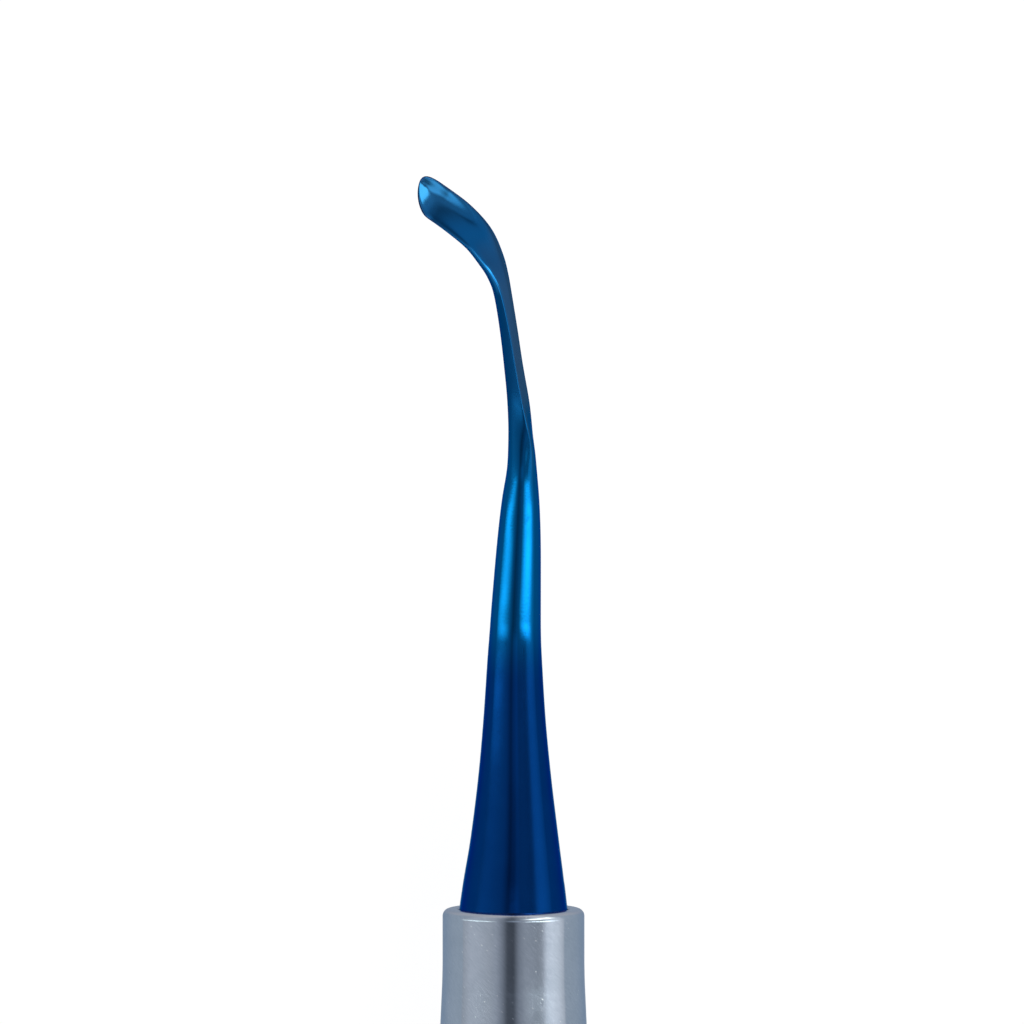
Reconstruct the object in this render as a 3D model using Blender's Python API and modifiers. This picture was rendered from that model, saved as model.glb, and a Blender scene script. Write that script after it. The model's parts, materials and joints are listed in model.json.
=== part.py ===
"""Mucosal flap extender: a dental hand instrument that lies on a tray.

A blue coated working end, in one piece from its tang to its blade, is pressed into the nose of a
hollow satin steel handle. A domed plug closes the handle's rear end.

Each piece is modelled upright round its own Z axis, with Z = 0 at the handle's nose face, the tip
upwards, -Y to the front and +X to the right. The instrument_axis empty then lays the whole
instrument on the ground, with the tip towards +Y and the front of the blade upwards.
"""

import math
from collections import namedtuple

import bmesh
import bpy
from mathutils import Vector

MM = 0.001

# Handle: a hollow turned tube with the same nose, taper and socket at both ends
HANDLE_LENGTH = 116.0 * MM
NOSE_RADIUS = 3.5 * MM
NOSE_LENGTH = 3.2 * MM
NOSE_EDGE_RADIUS = 0.35 * MM
TAPER_LENGTH = 27.7 * MM
GRIP_RADIUS = 4.75 * MM
TAPER_BLEND_RADIUS = 30.0 * MM
HANDLE_WALL = 0.7 * MM
BORE_CHAMFER = 0.08 * MM

# Foot of the working end: a collar that drops into the nose, and the tang below it
COLLAR_RADIUS = 2.67 * MM
COLLAR_DEPTH = 0.8 * MM
TANG_RADIUS = 2.2 * MM
TANG_LENGTH = 8.0 * MM
TANG_CHAMFER = 0.3 * MM

# Rear plug: a shank in the rear socket, and a low dome with a flat on its crown
PLUG_RADIUS = 2.3 * MM
PLUG_LENGTH = 6.0 * MM
PLUG_CHAMFER = 0.3 * MM
PLUG_HEAD_RADIUS = 2.67 * MM
PLUG_HEAD_DEPTH = 0.8 * MM
DOME_HEIGHT = 0.7 * MM
DOME_FLAT_RADIUS = 1.2 * MM

# Clearances of the pressed pieces, all round and at their seats
FIT_GAP = 0.06 * MM
SEAT_GAP = 0.05 * MM

# Blade tip: two rounded quarters that meet in a nose, set off to the outer side of the blade
TIP_LENGTH = 1.51 * MM
TIP_NOSE_OFFSET = 0.52 * MM
TIP_INNER_START = 0.29 * MM
TIP_INNER_POWER = 1.6
TIP_OUTER_START = 0.42 * MM
TIP_OUTER_POWER = 2.8
TIP_EDGE_THICKNESS = 0.12 * MM
TIP_LIFT = 0.30 * MM
TIP_LIFT_EASE = 0.35

# Blade edges: how far they are rounded down from the face, and how square the back's corners are
EDGE_ROUNDING = 0.05 * MM
BACK_SQUARENESS = 0.8

# Turn of the points of the round sections, so that they lead into the neck's face
ROUND_TWIST = 100.0

# Fineness of the surfaces
HANDLE_SIDES = 32
ARC_STEPS = 5
FACE_STEPS = 12
BACK_STEPS = 28
STEPS_BETWEEN_STATIONS = 5
TIP_RINGS = 14

# A station is one cross-section of the working end. height, side and front place its centre.
# half_width, back and face are measured from that centre: across the face, down to the back and
# up to the face. twist turns the face from the front to the right, in degrees, and flat goes from
# 0, round, to 1, a flat-faced blade. soft is how far the face is rounded off at its outer edge, and
# hollow is how deep it is dished. fold_at is where the face folds, to the outer side of its middle,
# and fold is how steeply it rises from there.
FIELDS = "height side front half_width back face twist flat soft hollow fold_at fold"
Station = namedtuple("Station", FIELDS)


def round_station(height, side, front, radius):
    """A round station, from sizes in millimetres."""
    place = [size * MM for size in (height, side, front, radius, radius, radius)]
    return Station(*place, ROUND_TWIST, 0.0, 0.0, 0.0, 0.0, 0.0)


def flat_station(height, side, front, half_width, back, face, twist, flat=1.0, **shape):
    """A station with a face, from sizes in millimetres. fold is a slope, so it has no unit."""
    place = [size * MM for size in (height, side, front, half_width, back, face)]
    soft, hollow, fold_at = [shape.get(key, 0.0) * MM for key in ("soft", "hollow", "fold_at")]
    return Station(*place, twist, flat, soft, hollow, fold_at, shape.get("fold", 0.0))


CONE = [
    round_station(1.35, 0.02, 0.0, 2.49),
    round_station(3.3, 0.055, 0.0, 2.195),
    round_station(6.3, 0.06, 0.0, 1.82),
    round_station(9.2, 0.05, 0.0, 1.545),
    round_station(12.2, 0.06, -0.025, 1.35),
]
SHANK = [
    round_station(13.6, 0.09, -0.018, 1.268),
    round_station(15.1, 0.145, 0.03, 1.21),
    round_station(18.0, 0.27, 0.145, 1.08),
    round_station(20.0, 0.35, 0.32, 0.93),
    round_station(21.6, 0.41, 0.508, 0.735),
]
NECK = [
    flat_station(23.15, 0.365, 0.50, 0.62, 0.63, 0.57, 84.0, flat=0.5, soft=0.03),
    flat_station(24.9, 0.25, 0.495, 0.42, 0.60, 0.43, 57.0, soft=0.05),
    flat_station(26.6, 0.03, 0.525, 0.37, 0.56, 0.35, 49.0, soft=0.05),
    flat_station(28.4, -0.21, 0.56, 0.37, 0.53, 0.30, 45.0, soft=0.05),
    flat_station(30.1, -0.49, 0.59, 0.44, 0.48, 0.25, 43.0, soft=0.07),
]
BLADE = [
    flat_station(31.0, -0.71, 0.605, 0.60, 0.46, 0.20, 42.0, soft=0.10),
    flat_station(31.9, -1.045, 0.63, 0.825, 0.52, 0.12, 41.0, soft=0.12, hollow=0.02),
    flat_station(32.92, -1.69, 0.68, 0.965, 0.52, 0.10, 37.0, soft=0.09, hollow=0.03, fold_at=0.1, fold=0.06),
    flat_station(33.81, -2.68, 0.78, 0.995, 0.42, 0.08, 30.0, soft=0.05, hollow=0.05, fold_at=0.3, fold=0.2),
    flat_station(34.44, -3.56, 0.91, 0.98, 0.28, 0.07, 25.0, soft=0.03, hollow=0.05, fold_at=0.4, fold=0.25),
]

SATIN_STEEL = (0.50, 0.53, 0.58)
BLUE_COATING = (0.004, 0.12, 0.45)


def metal(name, colour, roughness):
    """A metal finish of one colour."""
    finish = bpy.data.materials.new(name)
    finish.use_nodes = True
    shader = finish.node_tree.nodes["Principled BSDF"]
    shader.inputs["Base Color"].default_value = (*colour, 1.0)
    shader.inputs["Metallic"].default_value = 1.0
    shader.inputs["Roughness"].default_value = roughness
    finish.diffuse_color = (*colour, 1.0)
    return finish


def link(name, mesh, finish, collection, parent):
    """An object of this mesh, with its finish, on the instrument's axis."""
    mesh.materials.append(finish)
    piece = bpy.data.objects.new(name, mesh)
    collection.objects.link(piece)
    piece.parent = parent
    return piece


def fillet(before, corner, after, radius, steps=ARC_STEPS):
    """Points of an arc that rounds a profile's corner, between two straight runs."""
    before, corner, after = Vector(before), Vector(corner), Vector(after)
    inward = (before - corner).normalized()
    onward = (after - corner).normalized()
    half_angle = inward.angle(onward) / 2
    setback = radius / math.tan(half_angle)
    centre = corner + (inward + onward).normalized() * (radius / math.sin(half_angle))
    start = corner + inward * setback - centre
    end = corner + onward * setback - centre
    turn = start.angle(end)
    points = []
    for step in range(steps + 1):
        share = step / steps
        spoke = (start * math.sin((1 - share) * turn) + end * math.sin(share * turn)) / math.sin(turn)
        points.append(tuple(centre + spoke))
    return points


def turned(name, profile, closed, finish, collection, parent):
    """A solid turned round Z from its profile of (radius, height) points, down its outer side."""
    mesh = bpy.data.meshes.new(name)
    count = len(profile)
    edges = [(i, i + 1) for i in range(count - 1)]
    if closed:
        edges.append((count - 1, 0))
    mesh.from_pydata([(radius, 0.0, height) for radius, height in profile], edges, [])
    piece = link(name, mesh, finish, collection, parent)
    piece.rotation_euler.z = math.pi / HANDLE_SIDES
    screw = piece.modifiers.new("Turn", "SCREW")
    screw.steps = HANDLE_SIDES
    screw.render_steps = HANDLE_SIDES
    screw.use_merge_vertices = True
    screw.merge_threshold = 0.01 * MM
    screw.use_smooth_shade = True
    return piece


def handle_outside():
    """The handle's outer profile, from the nose face down to the rear face."""
    front_taper = -NOSE_LENGTH
    front_grip = front_taper - TAPER_LENGTH
    rear_grip = -HANDLE_LENGTH - front_grip
    rear_taper = -HANDLE_LENGTH - front_taper
    mouth = COLLAR_RADIUS + FIT_GAP
    corners = [
        (mouth, 0.0, 0.0),
        (NOSE_RADIUS, 0.0, NOSE_EDGE_RADIUS),
        (NOSE_RADIUS, front_taper, TAPER_BLEND_RADIUS),
        (GRIP_RADIUS, front_grip, TAPER_BLEND_RADIUS),
        (GRIP_RADIUS, rear_grip, TAPER_BLEND_RADIUS),
        (NOSE_RADIUS, rear_taper, TAPER_BLEND_RADIUS),
        (NOSE_RADIUS, -HANDLE_LENGTH, NOSE_EDGE_RADIUS),
        (mouth, -HANDLE_LENGTH, 0.0),
    ]
    profile = []
    for before, corner, after in zip(corners, corners[1:], corners[2:]):
        profile += fillet(before[:2], corner[:2], after[:2], corner[2])
    return profile


def handle_bore():
    """The handle's inner profile, from the rear mouth up to the front mouth."""
    collar_hole = COLLAR_RADIUS + FIT_GAP
    tang_hole = TANG_RADIUS + FIT_GAP
    collar_seat = -COLLAR_DEPTH - SEAT_GAP
    tang_end = collar_seat - TANG_LENGTH - SEAT_GAP
    front_hollow = -NOSE_LENGTH - TAPER_LENGTH
    head_hole = PLUG_HEAD_RADIUS + FIT_GAP
    plug_hole = PLUG_RADIUS + FIT_GAP
    head_seat = -HANDLE_LENGTH + PLUG_HEAD_DEPTH + SEAT_GAP
    plug_end = head_seat + PLUG_LENGTH + SEAT_GAP
    rear_hollow = -HANDLE_LENGTH - front_hollow
    hollow_radius = GRIP_RADIUS - HANDLE_WALL
    return [
        (head_hole + BORE_CHAMFER, -HANDLE_LENGTH),
        (head_hole, -HANDLE_LENGTH + BORE_CHAMFER),
        (head_hole, head_seat),
        (plug_hole, head_seat),
        (plug_hole, plug_end),
        (hollow_radius, rear_hollow),
        (hollow_radius, front_hollow),
        (tang_hole, tang_end),
        (tang_hole, collar_seat),
        (collar_hole, collar_seat),
        (collar_hole, -BORE_CHAMFER),
        (collar_hole + BORE_CHAMFER, 0.0),
    ]


def make_handle(finish, collection, parent):
    profile = handle_outside() + handle_bore()
    return turned("handle", profile, True, finish, collection, parent)


def make_end_plug(finish, collection, parent):
    """The rear plug, upside down in this frame: its dome points down."""
    rear = -HANDLE_LENGTH
    shoulder = rear + PLUG_HEAD_DEPTH
    top = shoulder + PLUG_LENGTH
    crown = rear - DOME_HEIGHT
    profile = [
        (0.0, top),
        (PLUG_RADIUS - PLUG_CHAMFER, top),
        (PLUG_RADIUS, top - PLUG_CHAMFER),
        (PLUG_RADIUS, shoulder),
        (PLUG_HEAD_RADIUS, shoulder),
    ]
    for step in range(ARC_STEPS + 1):
        angle = math.radians(90) * step / ARC_STEPS
        radius = DOME_FLAT_RADIUS + (PLUG_HEAD_RADIUS - DOME_FLAT_RADIUS) * math.cos(angle)
        profile.append((radius, rear - DOME_HEIGHT * math.sin(angle)))
    profile.append((0.0, crown))
    return turned("end_plug", profile, False, finish, collection, parent)


def smooth_between(before, start, end, after, share):
    """Every field of a station, on a smooth curve from start to end. share runs from 0 to 1."""
    fields = []
    for a, b, c, d in zip(before, start, end, after):
        linear = c - a
        square = 2 * a - 5 * b + 4 * c - d
        cube = 3 * (b - c) + d - a
        fields.append(b + 0.5 * share * (linear + share * (square + share * cube)))
    return Station(*fields)


def spread(stations):
    """The stations with more of them between, on a smooth curve through them all."""
    ends = [stations[0]] + stations + [stations[-1]]
    fine = []
    for before, start, end, after in zip(ends, ends[1:], ends[2:], ends[3:]):
        for step in range(STEPS_BETWEEN_STATIONS):
            fine.append(smooth_between(before, start, end, after, step / STEPS_BETWEEN_STATIONS))
    fine.append(stations[-1])
    return fine


def centre_of(place):
    return Vector((place.side, -place.front, place.height))


def signed_power(value, power):
    return math.copysign(abs(value) ** power, value)


def face_point(low, high, place, step):
    """A point of the blade's face, at a step from its inner edge to its outer one."""
    share = -math.cos(math.pi * step / FACE_STEPS)
    across = (low + high) / 2 + (high - low) / 2 * share
    dish = place.hollow * (1 - share**2)
    edge = EDGE_ROUNDING * place.flat * share**10 + place.soft * max(share, 0.0) ** 4
    return across, place.face - dish - edge + place.fold * max(across - place.fold_at, 0.0)


def section(low, high, place):
    """The cross-section's points as (across, out) pairs: the face from low to high, then the back."""
    middle = (low + high) / 2
    reach = (high - low) / 2
    flats = [face_point(low, high, place, step) for step in range(FACE_STEPS + 1)]
    turns = [60 * (2 * step / FACE_STEPS - 1) for step in range(FACE_STEPS + 1)]
    (_, low_edge), (_, high_edge) = flats[0], flats[-1]
    for step in range(1, BACK_STEPS):
        share = step / BACK_STEPS
        angle = math.pi * share
        across = signed_power(math.cos(angle), BACK_SQUARENESS)
        edge = (high_edge + low_edge) / 2 + (high_edge - low_edge) / 2 * across
        depth = (edge + place.back) * signed_power(math.sin(angle), BACK_SQUARENESS)
        flats.append((middle + reach * across, edge - depth))
        turns.append(60 + 240 * share)
    points = []
    for (across, out), turn in zip(flats, turns):
        angle = math.radians(turn)
        round_across = middle + reach * math.sin(angle)
        round_out = reach * math.cos(angle)
        mix = place.flat
        points.append((mix * across + (1 - mix) * round_across, mix * out + (1 - mix) * round_out))
    return points


def ring(place, along, low=None, high=None):
    """A cross-section set square to the direction along, as points in the upright frame."""
    low = -place.half_width if low is None else low
    high = place.half_width if high is None else high
    outer = along.cross(Vector((0.0, -1.0, 0.0))).normalized()
    front = outer.cross(along)
    twist = math.radians(place.twist)
    across = outer * math.cos(twist) - front * math.sin(twist)
    out = front * math.cos(twist) + outer * math.sin(twist)
    centre = centre_of(place)
    return [centre + across * a + out * o for a, o in section(low, high, place)]


def directions(places):
    """The direction of the centre line at each place."""
    centres = [centre_of(place) for place in places]
    ahead = centres[1:] + [2 * centres[-1] - centres[-2]]
    behind = [2 * centres[0] - centres[1]] + centres[:-1]
    return [(b - a).normalized() for a, b in zip(behind, ahead)]


def quarter(share, start, power):
    """How much of its width the tip keeps on one side, at a share of its length."""
    past = max(share * TIP_LENGTH - start, 0.0) / (TIP_LENGTH - start)
    return (1 - past**power) ** (1 / power)


def tip_rings(root, along):
    """Rings that narrow and thin the blade from its last station to the nose of its tip."""
    rings = []
    outward = Vector((0.0, -1.0, 0.0))
    for step in range(1, TIP_RINGS + 1):
        share = math.sin(math.radians(89) * step / TIP_RINGS)
        inner = quarter(share, TIP_INNER_START, TIP_INNER_POWER)
        outer = quarter(share, TIP_OUTER_START, TIP_OUTER_POWER)
        low = TIP_NOSE_OFFSET - (TIP_NOSE_OFFSET + root.half_width) * inner
        high = TIP_NOSE_OFFSET + (root.half_width - TIP_NOSE_OFFSET) * outer
        thin = 1 - share**2
        edge = TIP_EDGE_THICKNESS / 2
        place = root._replace(
            back=edge + (root.back - edge) * thin,
            face=edge + (root.face - edge) * thin,
            hollow=root.hollow * thin,
        )
        lift = outward * (TIP_LIFT * (share**3 - TIP_LIFT_EASE * share**5))
        shift = along * (TIP_LENGTH * share) + lift
        rings.append([point + shift for point in ring(place, along, low, high)])
    return rings


def round_ring(height, radius):
    """A ring of the turned foot, with its points in line with those of the rings above it."""
    return ring(round_station(height / MM, 0, 0, radius / MM), Vector((0.0, 0.0, 1.0)))


def foot_rings():
    """The tang with its chamfered end, its shoulder and the collar, from the bottom up."""
    tang_end = -COLLAR_DEPTH - TANG_LENGTH
    return [
        round_ring(tang_end, TANG_RADIUS - TANG_CHAMFER),
        round_ring(tang_end + TANG_CHAMFER, TANG_RADIUS),
        round_ring(-COLLAR_DEPTH, TANG_RADIUS),
        round_ring(-COLLAR_DEPTH, COLLAR_RADIUS),
    ]


def loft(name, rings):
    """A closed skin over rings that hold as many points each, with a flat cap at both ends."""
    skin = bmesh.new()
    rows = [[skin.verts.new(point) for point in points] for points in rings]
    for lower, upper in zip(rows, rows[1:]):
        for i in range(len(lower)):
            skin.faces.new((lower[i - 1], lower[i], upper[i], upper[i - 1]))
    skin.faces.new(rows[0])
    skin.faces.new(reversed(rows[-1]))
    bmesh.ops.recalc_face_normals(skin, faces=skin.faces)
    mesh = bpy.data.meshes.new(name)
    skin.to_mesh(mesh)
    skin.free()
    mesh.shade_smooth()
    mesh.set_sharp_from_angle(angle=math.radians(40))
    return mesh


def make_working_end(finish, collection, parent):
    """Tang, cone, shank, neck and blade in one piece."""
    collar = round_station(0, 0, 0, COLLAR_RADIUS / MM)
    places = spread([collar] + CONE + SHANK + NECK + BLADE)
    along = directions(places)
    along[0] = Vector((0.0, 0.0, 1.0))
    body = [ring(place, way) for place, way in zip(places, along)]
    rings = foot_rings() + body + tip_rings(places[-1], along[-1])
    return link("working_end", loft("working_end", rings), finish, collection, parent)


def lay_down(axis, working_end):
    """Lays the instrument on the ground, with its length centred on the origin."""
    tip = max(vertex.co.z for vertex in working_end.data.vertices)
    rear = -HANDLE_LENGTH - DOME_HEIGHT
    flat_radius = GRIP_RADIUS * math.cos(math.pi / HANDLE_SIDES)
    axis.location = (0.0, -(tip + rear) / 2, flat_radius)
    axis.rotation_euler.x = math.radians(-90)


def main():
    for old in list(bpy.data.objects):
        bpy.data.objects.remove(old)
    collection = bpy.data.collections.new("mucosal_flap_extender")
    bpy.context.scene.collection.children.link(collection)
    axis = bpy.data.objects.new("instrument_axis", None)
    collection.objects.link(axis)
    steel = metal("satin_steel", SATIN_STEEL, 0.38)
    blue = metal("blue_coating", BLUE_COATING, 0.22)
    working_end = make_working_end(blue, collection, axis)
    make_handle(steel, collection, axis)
    make_end_plug(steel, collection, axis)
    lay_down(axis, working_end)


main()
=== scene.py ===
"""Mucosal flap extender: the finished instrument, lying on a pale floor in soft studio light."""

import json
import math

import bmesh
import bpy
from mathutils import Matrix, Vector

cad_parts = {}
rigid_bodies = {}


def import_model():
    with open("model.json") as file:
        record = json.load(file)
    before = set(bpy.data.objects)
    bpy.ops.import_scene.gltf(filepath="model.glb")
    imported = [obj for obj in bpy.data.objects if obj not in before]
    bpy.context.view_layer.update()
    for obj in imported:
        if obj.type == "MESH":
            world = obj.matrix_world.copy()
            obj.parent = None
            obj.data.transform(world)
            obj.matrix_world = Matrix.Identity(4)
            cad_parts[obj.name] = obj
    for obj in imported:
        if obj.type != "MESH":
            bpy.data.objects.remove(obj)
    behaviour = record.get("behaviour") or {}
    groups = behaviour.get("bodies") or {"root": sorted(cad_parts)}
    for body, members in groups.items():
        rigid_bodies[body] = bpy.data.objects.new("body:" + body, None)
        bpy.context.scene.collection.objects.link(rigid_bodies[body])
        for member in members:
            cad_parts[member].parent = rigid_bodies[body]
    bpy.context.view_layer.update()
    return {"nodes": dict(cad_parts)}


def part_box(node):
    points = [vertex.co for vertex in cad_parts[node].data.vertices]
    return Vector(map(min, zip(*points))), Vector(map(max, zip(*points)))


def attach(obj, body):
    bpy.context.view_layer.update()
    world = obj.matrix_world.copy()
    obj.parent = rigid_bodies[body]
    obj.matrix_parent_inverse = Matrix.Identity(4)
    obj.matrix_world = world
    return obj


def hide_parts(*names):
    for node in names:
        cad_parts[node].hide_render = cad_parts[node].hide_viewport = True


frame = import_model()

MM = 0.001

# Sizes of the turned pieces, where their boxes don't give them
NOSE_RADIUS = 3.483 * MM
NOSE_LENGTH = 3.2 * MM
NOSE_EDGE = 0.35 * MM
SUPPORT_GAP = 0.05 * MM
TAPER_LENGTH = 27.7 * MM
TAPER_BLEND = 0.68 * MM
HANDLE_WALL = 0.7 * MM
MOUTH_RADIUS = 2.72 * MM
MOUTH_DEPTH = 0.85 * MM
MOUTH_CHAMFER = 0.08 * MM
TANG_HOLE_RADIUS = 2.25 * MM
TANG_HOLE_DEPTH = 8.9 * MM
PLUG_HOLE_RADIUS = 2.35 * MM
PLUG_HOLE_DEPTH = 6.9 * MM
PLUG_RADIUS = 2.29 * MM
PLUG_HEAD_DEPTH = 0.8 * MM
PLUG_CHAMFER = 0.3 * MM
PLUG_DOME = 0.7 * MM
PLUG_FLAT_RADIUS = 1.2 * MM
TURNED_SIDES = 128
BLEND_STEPS = 6
DOME_STEPS = 10

# How near a point counts as lying on a ring, and how near two points count as one
ON_RING = 0.01 * MM
SAME_POINT = 0.001 * MM
SAME_SKIN_POINT = 0.0001 * MM

# The instrument's axis and its main places along +Y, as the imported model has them
handle_low, handle_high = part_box("handle")
plug_low, plug_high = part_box("end_plug")
AXIS_Z = (handle_low.z + handle_high.z) / 2
GRIP_RADIUS = (handle_high.x - handle_low.x) / 2
PLUG_HEAD_RADIUS = (plug_high.x - plug_low.x) / 2
NOSE_Y = handle_high.y
REAR_Y = handle_low.y


def deselect():
    bpy.ops.object.select_all(action="DESELECT")


def start_ring(name, radius, y, filled):
    """A ring round the instrument's axis, left in edit mode with all of it selected."""
    deselect()
    bpy.ops.mesh.primitive_circle_add(
        vertices=TURNED_SIDES,
        radius=radius,
        fill_type="NGON" if filled else "NOTHING",
        location=(0, y, AXIS_Z),
        rotation=(math.radians(90), 0, 0),
    )
    piece = bpy.context.active_object
    piece.name = name
    piece.data.name = name
    bpy.ops.object.transform_apply(location=True, rotation=True, scale=True)
    bpy.ops.object.mode_set(mode="EDIT")
    bpy.ops.mesh.select_all(action="SELECT")
    return piece


def next_ring(before, after):
    """Extrudes the selected ring to the next (radius, y) of a turned profile."""
    step = (0, after[1] - before[1], 0)
    bpy.ops.mesh.extrude_region_move(TRANSFORM_OT_translate={"value": step})
    size = after[0] / before[0]
    bpy.ops.transform.resize(value=(size, 1, size), center_override=(0, after[1], AXIS_Z))


def turn(name, profile, closed):
    """A turned piece from its (radius, y) profile. A closed one comes back to its first ring."""
    piece = start_ring(name, *profile[0], filled=not closed)
    for before, after in zip(profile, profile[1:]):
        next_ring(before, after)
    if closed:
        bpy.ops.mesh.select_all(action="SELECT")
        bpy.ops.mesh.remove_doubles(threshold=SAME_POINT)
    return piece


def pick_ring(piece, y, radius=None):
    """Selects the edges at this place along the instrument, and of this radius if one is given."""
    bpy.ops.mesh.select_mode(type="EDGE")
    bpy.ops.mesh.select_all(action="DESELECT")
    shape = bmesh.from_edit_mesh(piece.data)
    for edge in shape.edges:
        edge.select = all(
            abs(end.co.y - y) < ON_RING
            and (radius is None or abs(math.hypot(end.co.x, end.co.z - AXIS_Z) - radius) < ON_RING)
            for end in edge.verts
        )
    bmesh.update_edit_mesh(piece.data)


def finish_turned(piece):
    """Turns the faces outward, and shades the piece smooth up to its sharp corners."""
    bpy.ops.mesh.select_all(action="SELECT")
    bpy.ops.mesh.normals_make_consistent(inside=False)
    bpy.ops.object.mode_set(mode="OBJECT")
    bpy.ops.object.shade_smooth_by_angle(angle=math.radians(30))
    return piece


def make_handle():
    """The hollow handle: nose, flare, grip and rear, and the stepped bore through it."""
    front_taper = NOSE_Y - NOSE_LENGTH
    front_grip = front_taper - TAPER_LENGTH
    rear_taper = REAR_Y + NOSE_LENGTH
    rear_grip = rear_taper + TAPER_LENGTH
    hollow = GRIP_RADIUS - HANDLE_WALL
    corners = [
        (NOSE_RADIUS, NOSE_Y, NOSE_EDGE),
        (NOSE_RADIUS, front_taper, TAPER_BLEND),
        (GRIP_RADIUS, front_grip, TAPER_BLEND),
        (GRIP_RADIUS, rear_grip, TAPER_BLEND),
        (NOSE_RADIUS, rear_taper, TAPER_BLEND),
        (NOSE_RADIUS, REAR_Y, NOSE_EDGE),
    ]
    bore = [
        (MOUTH_RADIUS + MOUTH_CHAMFER, REAR_Y),
        (MOUTH_RADIUS, REAR_Y + MOUTH_CHAMFER),
        (MOUTH_RADIUS, REAR_Y + MOUTH_DEPTH),
        (PLUG_HOLE_RADIUS, REAR_Y + MOUTH_DEPTH),
        (PLUG_HOLE_RADIUS, REAR_Y + PLUG_HOLE_DEPTH),
        (hollow, rear_grip),
        (hollow, front_grip),
        (TANG_HOLE_RADIUS, NOSE_Y - TANG_HOLE_DEPTH),
        (TANG_HOLE_RADIUS, NOSE_Y - MOUTH_DEPTH),
        (MOUTH_RADIUS, NOSE_Y - MOUTH_DEPTH),
        (MOUTH_RADIUS, NOSE_Y - MOUTH_CHAMFER),
        (MOUTH_RADIUS + MOUTH_CHAMFER, NOSE_Y),
    ]
    # A ring just past each end's rounded edge keeps the shading of the long nose straight
    outside = [(radius, y) for radius, y, _ in corners]
    outside.insert(1, (NOSE_RADIUS, NOSE_Y - NOSE_EDGE - SUPPORT_GAP))
    outside.insert(-1, (NOSE_RADIUS, REAR_Y + NOSE_EDGE + SUPPORT_GAP))
    piece = turn("handle_tube", [bore[-1]] + outside + bore, closed=True)
    for radius, y, width in corners:
        pick_ring(piece, y, radius)
        bpy.ops.mesh.bevel(offset=width, segments=BLEND_STEPS, affect="EDGES")
    return finish_turned(piece)


def make_end_plug():
    """The rear plug: a chamfered shank, a head, and a low dome with a flat on its crown."""
    shoulder = REAR_Y + PLUG_HEAD_DEPTH
    profile = [
        (PLUG_RADIUS - PLUG_CHAMFER, plug_high.y),
        (PLUG_RADIUS, plug_high.y - PLUG_CHAMFER),
        (PLUG_RADIUS, shoulder),
        (PLUG_HEAD_RADIUS, shoulder),
    ]
    for step in range(DOME_STEPS + 1):
        angle = math.radians(90) * step / DOME_STEPS
        radius = PLUG_FLAT_RADIUS + (PLUG_HEAD_RADIUS - PLUG_FLAT_RADIUS) * math.cos(angle)
        profile.append((radius, REAR_Y - PLUG_DOME * math.sin(angle)))
    return finish_turned(turn("rear_plug", profile, closed=False))


# Where the edges of the neck and the blade begin, past the nose
EDGES_START = 24 * MM


def mark_blade_edges(piece):
    """Marks how near each point is to an edge of the neck or blade: 1 on it, 0.5 beside it. The
    blue finish paints its edge highlights and dark reflections there.
    """
    bmesh.from_edit_mesh(piece.data).verts.layers.float.new("edge")
    bpy.ops.mesh.select_all(action="DESELECT")
    bpy.ops.mesh.edges_select_sharp(sharpness=math.radians(50))
    for _ in range(2):
        shape = bmesh.from_edit_mesh(piece.data)
        layer = shape.verts.layers.float["edge"]
        for point in shape.verts:
            if point.select and point.co.y > NOSE_Y + EDGES_START:
                point[layer] += 0.5
        bmesh.update_edit_mesh(piece.data)
        bpy.ops.mesh.select_more()


def make_working_end(solid):
    """The blue working end: the CAD solid's skin, merged, made quads and subdivided smooth."""
    deselect()
    piece = bpy.data.objects.new("blue_working_end", solid.copy())
    bpy.context.scene.collection.objects.link(piece)
    piece.select_set(True)
    bpy.context.view_layer.objects.active = piece
    bpy.ops.object.mode_set(mode="EDIT")
    bpy.ops.mesh.select_all(action="SELECT")
    bpy.ops.mesh.remove_doubles(threshold=SAME_SKIN_POINT)
    bpy.ops.mesh.tris_convert_to_quads(face_threshold=math.pi, shape_threshold=math.pi)
    pick_ring(piece, NOSE_Y)
    bpy.ops.transform.edge_crease(value=1.0)
    bpy.ops.mesh.mark_sharp()
    mark_blade_edges(piece)
    bpy.ops.object.mode_set(mode="OBJECT")
    smoother = piece.modifiers.new("Smooth", "SUBSURF")
    smoother.levels = 2
    smoother.render_levels = 2
    bpy.ops.object.modifier_apply(modifier=smoother.name)
    bpy.ops.object.shade_smooth_by_angle(angle=math.radians(40))
    return piece


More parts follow.
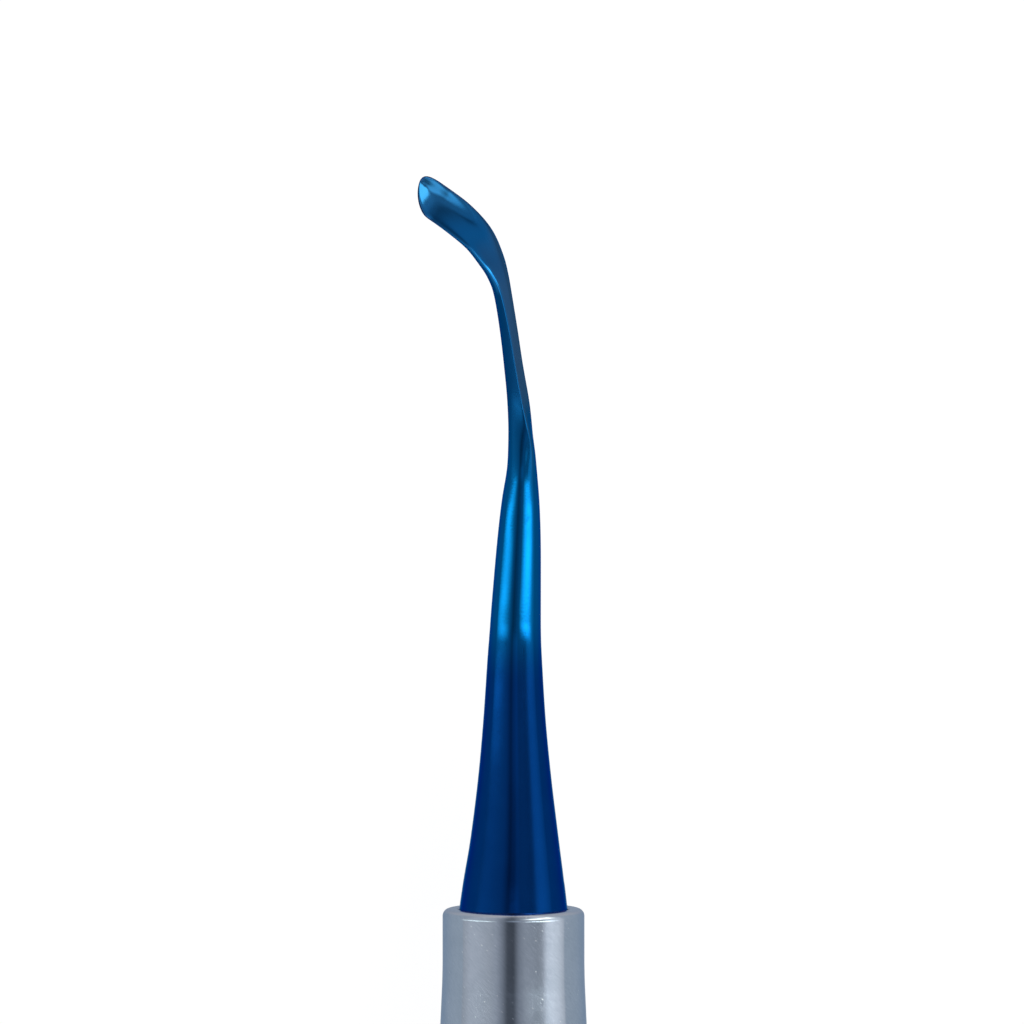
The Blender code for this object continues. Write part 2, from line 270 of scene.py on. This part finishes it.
class Nodes:
    """Short calls for building the node tree of one finish, or of the room."""

    def __init__(self, owner, shader="Principled BSDF", output="Material Output"):
        owner.use_nodes = True
        self.tree = owner.node_tree
        self.shader = self.tree.nodes[shader]
        self.surface = self.tree.nodes[output].inputs["Surface"]

    def add(self, kind, **settings):
        node = self.tree.nodes.new(kind)
        for key, value in settings.items():
            setattr(node, key, value)
        return node

    def link(self, value, socket):
        """Puts an output, a plain number or a colour into a socket."""
        if isinstance(value, bpy.types.NodeSocket):
            self.tree.links.new(value, socket)
        else:
            socket.default_value = value

    def fill(self, node, *values):
        """Puts the values into a node's first sockets, and gives the node's first output."""
        for value, socket in zip(values, node.inputs):
            self.link(value, socket)
        return node.outputs[0]

    def math(self, operation, first, second=0.0):
        return self.fill(self.add("ShaderNodeMath", operation=operation), first, second)

    def weigh(self, *pairs):
        """Adds values up, each times its own weight."""
        total, *others = [self.math("MULTIPLY", value, weight) for value, weight in pairs]
        for other in others:
            total = self.math("ADD", total, other)
        return total

    def split(self, vector):
        node = self.add("ShaderNodeSeparateXYZ")
        self.fill(node, vector)
        return node.outputs

    def combine(self, x, y, z):
        return self.fill(self.add("ShaderNodeCombineXYZ"), x, y, z)

    def noise(self, vector, scale, detail=2.0, roughness=0.5):
        node = self.add("ShaderNodeTexNoise")
        self.link(vector, node.inputs["Vector"])
        node.inputs["Scale"].default_value = scale
        node.inputs["Detail"].default_value = detail
        node.inputs["Roughness"].default_value = roughness
        return node.outputs[0]

    def spread(self, noise, low, high):
        """Spreads a noise, which seldom leaves 0.3 to 0.7, over low to high."""
        return self.fill(self.add("ShaderNodeMapRange"), noise, 0.3, 0.7, low, high)

    def fade_in(self, value, start, end, full=1.0):
        """Rises softly from 0 at start to full at end, which may be the lower one."""
        node = self.add("ShaderNodeMapRange", interpolation_type="SMOOTHSTEP")
        return self.fill(node, value, start, end, 0.0, full)

    def mix(self, share, first, second):
        node = self.add("ShaderNodeMix", data_type="RGBA")
        self.link(share, node.inputs[0])
        self.link(first, node.inputs[6])
        self.link(second, node.inputs[7])
        return node.outputs[2]

    def mix_shaders(self, share, first, second):
        return self.fill(self.add("ShaderNodeMixShader"), share, first, second)

    def bump(self, pattern, depth, under=None):
        node = self.add("ShaderNodeBump")
        node.inputs["Distance"].default_value = depth
        self.link(pattern, node.inputs["Height"])
        if under is not None:
            self.link(under, node.inputs["Normal"])
        return node.outputs[0]


# Every colour is linear red, green, blue and alpha. A pair of them is mottled between the two
WHITE = (1, 1, 1, 1)
STEEL_TONES = (0.46, 0.53, 0.615, 1), (0.575, 0.64, 0.735, 1)
# A painted highlight: the pale pink line along the handle's rounded front rim
STEEL_RIM_HIGHLIGHT = (0.70, 0.68, 0.72, 1)
# The nicks' colour is a painted glint, paler than the steel round them
STEEL_NICK_GLINT = (0.78, 0.80, 0.84, 1)
STEEL_TINT = (0.62, 0.70, 0.82, 1)

# The steel's brushing: its slope, the radius that it is laid out on, how many times finer its
# hairlines and nicks are across than along, and how high a noise rises where there is a nick
HAIRLINE_SLOPE = math.radians(35)
BRUSHED_RADIUS = 4.0 * MM
HAIRLINE_FINENESS = 8.0
NICK_FINENESS = 3.2
NICK_NOISE = (0.80, 0.85)

# How far before the handle's end its duller rim starts and is full, and the pale highlight painted
# on its front edge is full
RIM_START = 0.45 * MM
RIM_FULL = 0.2 * MM
RIM_HIGHLIGHT_FULL = 0.08 * MM


def satin_steel():
    """Stainless steel, brushed in fine slanting hairlines, with a few nicks whose sparkle is
    painted in as pale glints.
    """
    finish = bpy.data.materials.new("brushed_satin")
    nodes = Nodes(finish)
    place = nodes.add("ShaderNodeTexCoord").outputs["Object"]
    x, y, z = nodes.split(place)
    turn_angle = nodes.math("ARCTAN2", x, nodes.math("SUBTRACT", z, AXIS_Z))
    round_way = nodes.math("MULTIPLY", turn_angle, BRUSHED_RADIUS)
    slope_cos, slope_sin = math.cos(HAIRLINE_SLOPE), math.sin(HAIRLINE_SLOPE)
    across = nodes.weigh((y, slope_cos), (round_way, slope_sin))
    along = nodes.weigh((round_way, slope_cos), (y, -slope_sin))

    hair_place = nodes.combine(nodes.math("MULTIPLY", across, HAIRLINE_FINENESS), along, 0.0)
    hairlines = nodes.noise(hair_place, scale=2100.0, detail=3.0, roughness=0.6)
    nick_place = nodes.combine(nodes.math("MULTIPLY", across, NICK_FINENESS), along, 0.3)
    nicks_and_glints = nodes.fade_in(nodes.noise(nick_place, scale=4600.0, detail=0.0), *NICK_NOISE)
    cloud = nodes.noise(place, scale=700.0, detail=3.0, roughness=0.6)
    rim = nodes.fade_in(y, NOSE_Y - RIM_START, NOSE_Y - RIM_FULL)
    rim_highlight = nodes.fade_in(y, NOSE_Y - RIM_FULL, NOSE_Y - RIM_HIGHLIGHT_FULL)

    brushed = nodes.weigh((hairlines, 0.6), (cloud, 0.4))
    tone = nodes.mix(nodes.spread(brushed, 0.0, 1.0), *STEEL_TONES)
    # Painted highlight: the handle's front rim turns pale pink
    tone = nodes.mix(rim_highlight, tone, STEEL_RIM_HIGHLIGHT)
    # Painted glints: each nick is coloured paler than the steel, besides its own bump and
    # roughness
    tone = nodes.mix(nicks_and_glints, tone, STEEL_NICK_GLINT)
    nodes.link(tone, nodes.shader.inputs["Base Color"])
    nodes.shader.inputs["Metallic"].default_value = 1.0
    nodes.shader.inputs["Specular Tint"].default_value = STEEL_TINT
    satin = nodes.spread(hairlines, 0.095, 0.12)
    rough = nodes.weigh((satin, 1.0), (nicks_and_glints, 0.05), (rim, 0.12))
    nodes.link(rough, nodes.shader.inputs["Roughness"])
    relief = nodes.bump(hairlines, 0.0002 * MM)
    relief = nodes.bump(nicks_and_glints, 0.001 * MM, relief)
    nodes.link(relief, nodes.shader.inputs["Normal"])
    return finish


# The dark cone and brighter shank are partly the coating's own tones and partly painted light: the
# step between them is where the lamps' reflections on the shank end
CONE_BLUES = (0.001, 0.044, 0.21, 1), (0.002, 0.052, 0.235, 1)
SHANK_BLUES = (0.001, 0.118, 0.330, 1), (0.002, 0.128, 0.360, 1)
BLADE_TEALS = (0.003, 0.071, 0.215, 1), (0.005, 0.079, 0.235, 1)
# A painted reflection: the pale grey-blue of the blade where it faces the bright room on the right
BLADE_SIDE_SHEEN = (0.055, 0.130, 0.235, 1)
TIP_BLUE = (0.012, 0.085, 0.205, 1)
# Painted light along the neck's and blade's edges: a bright highlight, and near the tip a dark
# reflection
PAINTED_EDGE_HIGHLIGHT = (0.02, 0.20, 0.50, 1)
PAINTED_EDGE_DARK_REFLECTION = (0.02, 0.03, 0.12, 1)
BLUE_TINT = (0.15, 0.45, 0.85, 1)

# Where the blue end's looks change, past the nose: the start and the end of each change
TO_SHANK = (11.0 * MM, 14.6 * MM)
TO_BLADE = (20 * MM, 26 * MM)
TO_WORN_NECK = (22.5 * MM, 24.5 * MM)
TO_GLOSSY_BLADE = (27 * MM, 30 * MM)
# Here the painted edge highlight gives way to a painted dark reflection
TO_PAINTED_DARK_REFLECTION = (32.8 * MM, 34.6 * MM)
TO_TIP = (33 * MM, 35.5 * MM)

# How far the surface turns to the right where the pale sheen painted on the blade, a painted
# reflection of the bright room on that side, starts and is full, and how much rougher the neck is
TO_PAINTED_SHEEN = (0.45, 0.9)
NECK_WEAR = 0.16


def blue_coating():
    """A glossy blue hard coating over polished steel, with teal tones along the blade and a
    painted pale sheen on its right-facing side.
    """
    finish = bpy.data.materials.new("blue_gloss")
    nodes = Nodes(finish)
    coordinates = nodes.add("ShaderNodeTexCoord")
    place = coordinates.outputs["Object"]
    past_nose = nodes.math("SUBTRACT", nodes.split(place)["Y"], NOSE_Y)
    painted_sheen = nodes.fade_in(nodes.split(coordinates.outputs["Normal"])["X"], *TO_PAINTED_SHEEN)
    cloud = nodes.noise(place, scale=900.0)

    # Painted reflection: the blade turns pale grey-blue where its surface faces right
    blade = nodes.mix(painted_sheen, nodes.mix(cloud, *BLADE_TEALS), BLADE_SIDE_SHEEN)
    blade = nodes.mix(nodes.fade_in(past_nose, *TO_TIP), blade, TIP_BLUE)
    cone = nodes.mix(cloud, *CONE_BLUES)
    # Partly painted highlight: the shank's brighter blue fades out toward the darker cone, ending
    # its reflections there
    shank = nodes.mix(nodes.fade_in(past_nose, *TO_SHANK), cone, nodes.mix(cloud, *SHANK_BLUES))
    colour = nodes.mix(nodes.fade_in(past_nose, *TO_BLADE), shank, blade)
    # Painted highlight along the edges, turning into a painted dark reflection near the tip
    edge = nodes.add("ShaderNodeAttribute", attribute_name="edge").outputs["Fac"]
    painted_edge_light = nodes.mix(nodes.fade_in(past_nose, *TO_PAINTED_DARK_REFLECTION), PAINTED_EDGE_HIGHLIGHT, PAINTED_EDGE_DARK_REFLECTION)
    nodes.link(nodes.mix(edge, colour, painted_edge_light), nodes.shader.inputs["Base Color"])
    nodes.shader.inputs["Metallic"].default_value = 1.0
    nodes.shader.inputs["Specular Tint"].default_value = BLUE_TINT

    wear_start = nodes.fade_in(past_nose, *TO_WORN_NECK, full=NECK_WEAR)
    wear_end = nodes.fade_in(past_nose, *TO_GLOSSY_BLADE, full=NECK_WEAR)
    worn = nodes.math("SUBTRACT", wear_start, wear_end)
    polished = nodes.spread(cloud, 0.10, 0.125)
    nodes.link(nodes.math("ADD", polished, worn), nodes.shader.inputs["Roughness"])
    polish = nodes.noise(place, scale=9000.0)
    nodes.link(nodes.bump(polish, 0.0008 * MM), nodes.shader.inputs["Normal"])
    return finish


FLOOR_SIZE = 3.0
FLOOR_GAP = 0.02 * MM
FLOOR_GREY = (0.9, 0.9, 0.9, 1)
FLOOR_MIRRORED = (0.80, 0.90, 1.0, 1)


def make_floor():
    """A plain white floor that glows where it is seen or mirrored, and still shows the shadow."""
    deselect()
    bpy.ops.mesh.primitive_plane_add(size=FLOOR_SIZE, location=(0, 0, -FLOOR_GAP))
    floor = bpy.context.active_object
    floor.name = "floor"
    finish = bpy.data.materials.new("floor_white")
    nodes = Nodes(finish)
    nodes.shader.inputs["Base Color"].default_value = FLOOR_GREY
    nodes.shader.inputs["Roughness"].default_value = 0.9
    ray = nodes.add("ShaderNodeLightPath").outputs
    seen = ray["Is Camera Ray"]
    mirrored = nodes.math("ADD", ray["Is Glossy Ray"], ray["Is Transmission Ray"])
    glow = nodes.add("ShaderNodeEmission")
    nodes.link(nodes.mix(mirrored, WHITE, FLOOR_MIRRORED), glow.inputs["Color"])
    nodes.link(nodes.weigh((seen, 1.12), (mirrored, 0.55)), glow.inputs["Strength"])
    share = nodes.weigh((seen, 0.85), (mirrored, 0.9))
    both = nodes.mix_shaders(share, nodes.shader.outputs[0], glow.outputs[0])
    nodes.link(both, nodes.surface)
    floor.data.materials.append(finish)


# The room's light by the direction it comes from, in degrees to the right of straight overhead:
# how bright it is, and how much of its blue is left in its red. Its green lies between the two
ROOM = [
    (-150, 0.85, 0.88),
    (-115, 0.74, 0.90),
    (-92, 0.50, 0.92),
    (-84, 0.57, 0.92),
    (-75, 0.64, 0.92),
    (-60, 0.63, 0.92),
    (-40, 0.54, 0.92),
    (-28, 0.49, 0.88),
    (-19, 0.34, 0.84),
    (-10, 0.12, 0.78),
    (0, 0.10, 0.78),
    (9, 0.34, 0.84),
    (18, 0.44, 0.88),
    (28, 0.43, 0.88),
    (40, 0.38, 0.88),
    (47, 0.45, 0.90),
    (56, 0.90, 0.94),
    (66, 0.98, 0.96),
    (76, 0.93, 0.96),
    (84, 0.80, 0.95),
    (92, 0.60, 0.93),
    (110, 0.58, 0.90),
    (150, 0.48, 0.90),
]


def make_world():
    """The room: long panels and gaps beside each other, and white where the camera sees it."""
    world = bpy.data.worlds.new("studio")
    bpy.context.scene.world = world
    nodes = Nodes(world, "Background", "World Output")
    x, _, z = nodes.split(nodes.add("ShaderNodeTexCoord").outputs["Generated"])
    turn_share = nodes.add("ShaderNodeMapRange")
    nodes.fill(turn_share, nodes.math("ARCTAN2", x, z), -math.pi, math.pi)
    ramp = nodes.add("ShaderNodeValToRGB")
    nodes.link(turn_share.outputs[0], ramp.inputs[0])
    stops = ramp.color_ramp.elements
    while len(stops) > 1:
        stops.remove(stops[-1])
    for index, (lean, light, warmth) in enumerate(ROOM):
        position = 0.5 + lean / 360
        stop = stops.new(position) if index else stops[0]
        stop.position = position
        stop.color = (light * warmth, light * (0.3 + 0.7 * warmth), light, 1)
    nodes.link(ramp.outputs[0], nodes.shader.inputs["Color"])
    white = nodes.add("ShaderNodeBackground")
    nodes.link(WHITE, white.inputs["Color"])
    seen = nodes.add("ShaderNodeLightPath").outputs["Is Camera Ray"]
    both = nodes.mix_shaders(seen, nodes.shader.outputs[0], white.outputs[0])
    nodes.link(both, nodes.surface)


# The lamps, each for a reflection in the photograph. make_light_strip says what each number is
LAMPS = [
    # name, distance, lean, reach, core, start, end, fade, strength, colour
    ("right_strip", 0.3, 47, 36, 0, -3, 21, 9, 5.4, (0.9, 1.0, 0.95, 1)),
    ("left_strip", 1.0, -61, 39, 0, 18, 90, 28, 3.7, (0.88, 1.0, 0.9, 1)),
    ("shank_glow", 0.3, 1, 16, 3, -8, 90, 6, 0.17, (0.75, 0.85, 1.0, 1)),
    ("cone_glow", 0.3, 0, 18, 3, 22, 60, 8, 0.22, (0.75, 0.85, 1.0, 1)),
    ("tip_patch", 0.1, 61, 10, 4, 58, 88, 8, 5.6, (1.0, 1.0, 0.8, 1)),
    ("tip_band", 0.1, 36, 18, 6, 32, 80, 18, 2.8, (1.0, 1.0, 0.9, 1)),
    ("blade_glow", 0.1, 42, 18, 6, 55, 112, 18, 0.55, WHITE),
]


def make_light_strip(name, distance, lean, reach, core, start, end, fade, strength, colour):
    """A lamp across the instrument, brightest in its middle.

    It hangs distance metres from the axis, lean degrees to the right of straight overhead. It
    reaches this many degrees to each side, and its core, in degrees too, has its full light. It
    lies from start to end in millimetres past the nose, and fades out over that many at each.
    """
    tilt = math.radians(lean)
    half_width = distance * math.tan(math.radians(reach))
    half_core = distance * math.tan(math.radians(core))
    deselect()
    bpy.ops.mesh.primitive_plane_add(size=1.0)
    lamp = bpy.context.active_object
    lamp.name = name
    lamp.location = (
        distance * math.sin(tilt),
        NOSE_Y + (start + end) / 2 * MM,
        AXIS_Z + distance * math.cos(tilt),
    )
    lamp.rotation_euler.y = tilt
    lamp.scale = (2 * half_width, (end - start) * MM, 1)

    # The plane is one unit each way, so its middle is 0 and its sides and ends are at 0.5
    finish = bpy.data.materials.new(name)
    nodes = Nodes(finish)
    x, y, _ = nodes.split(nodes.add("ShaderNodeTexCoord").outputs["Object"])
    across = nodes.fade_in(nodes.math("ABSOLUTE", x), 0.5, 0.5 * half_core / half_width)
    from_end = nodes.math("SUBTRACT", 0.5, nodes.math("ABSOLUTE", y))
    along = nodes.fade_in(from_end, 0.0, fade / (end - start), full=strength)
    glow = nodes.add("ShaderNodeEmission")
    nodes.link(nodes.math("MULTIPLY", across, along), glow.inputs["Strength"])
    nodes.link(colour, glow.inputs["Color"])
    clear = nodes.add("ShaderNodeBsdfTransparent")
    both = nodes.fill(nodes.add("ShaderNodeAddShader"), glow.outputs[0], clear.outputs[0])
    nodes.link(both, nodes.surface)
    lamp.data.materials.append(finish)
    lamp.visible_camera = False


def make_camera():
    """Straight above the shank, as the photograph was taken."""
    data = bpy.data.cameras.new("photo_camera")
    data.lens = 159
    data.sensor_width = 36
    data.clip_start = 0.01
    camera = bpy.data.objects.new("photo_camera", data)
    bpy.context.scene.collection.objects.link(camera)
    aside, past_nose, above_axis = -0.074 * MM, 19.46 * MM, 222 * MM
    camera.location = (aside, NOSE_Y + past_nose, AXIS_Z + above_axis)
    bpy.context.scene.camera = camera


def dress(piece, node, finish):
    """Gives a piece its finish and puts it in the place of its CAD node."""
    piece.data.materials.clear()
    piece.data.materials.append(finish)
    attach(piece, "root")
    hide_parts(node)


steel = satin_steel()
dress(make_handle(), "handle", steel)
dress(make_end_plug(), "end_plug", steel)
working_end = make_working_end(frame["nodes"]["working_end"].data)
dress(working_end, "working_end", blue_coating())
make_floor()
make_world()
for lamp in LAMPS:
    make_light_strip(*lamp)
make_camera()
bpy.context.scene.view_settings.view_transform = "Standard"
